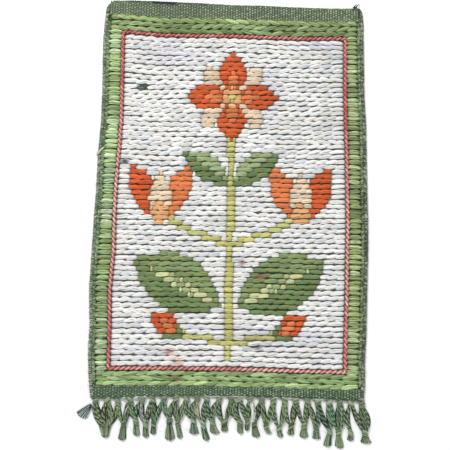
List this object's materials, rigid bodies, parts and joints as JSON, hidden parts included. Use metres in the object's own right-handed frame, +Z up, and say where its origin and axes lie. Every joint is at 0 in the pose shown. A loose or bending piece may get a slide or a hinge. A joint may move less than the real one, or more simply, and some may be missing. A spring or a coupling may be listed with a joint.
{
  "type": "kilim rug",
  "caption": "Small flat-woven wool rug lying face up, with raised rows of wrapped yarn, a coral outline cord, green borders and a knotted fringe at one end.",
  "frame": {"origin": "middle of the rug's bounding box, on the floor", "axes": "+X across the rug to the viewer's right, +Y from the fringe to the plain end, +Z up"},
  "size_m": [0.4172, 0.6636, 0.008],
  "materials": {
    "wool_field": "matte wool",
    "wool_coral": "matte twisted wool",
    "wool_fringe": "matte plied wool"
  },
  "bodies": {
    "root": {"rug_body": "wool_field", "outline_cord": "wool_coral", "knotted_fringe": "wool_fringe"}
  },
  "joints": []
}
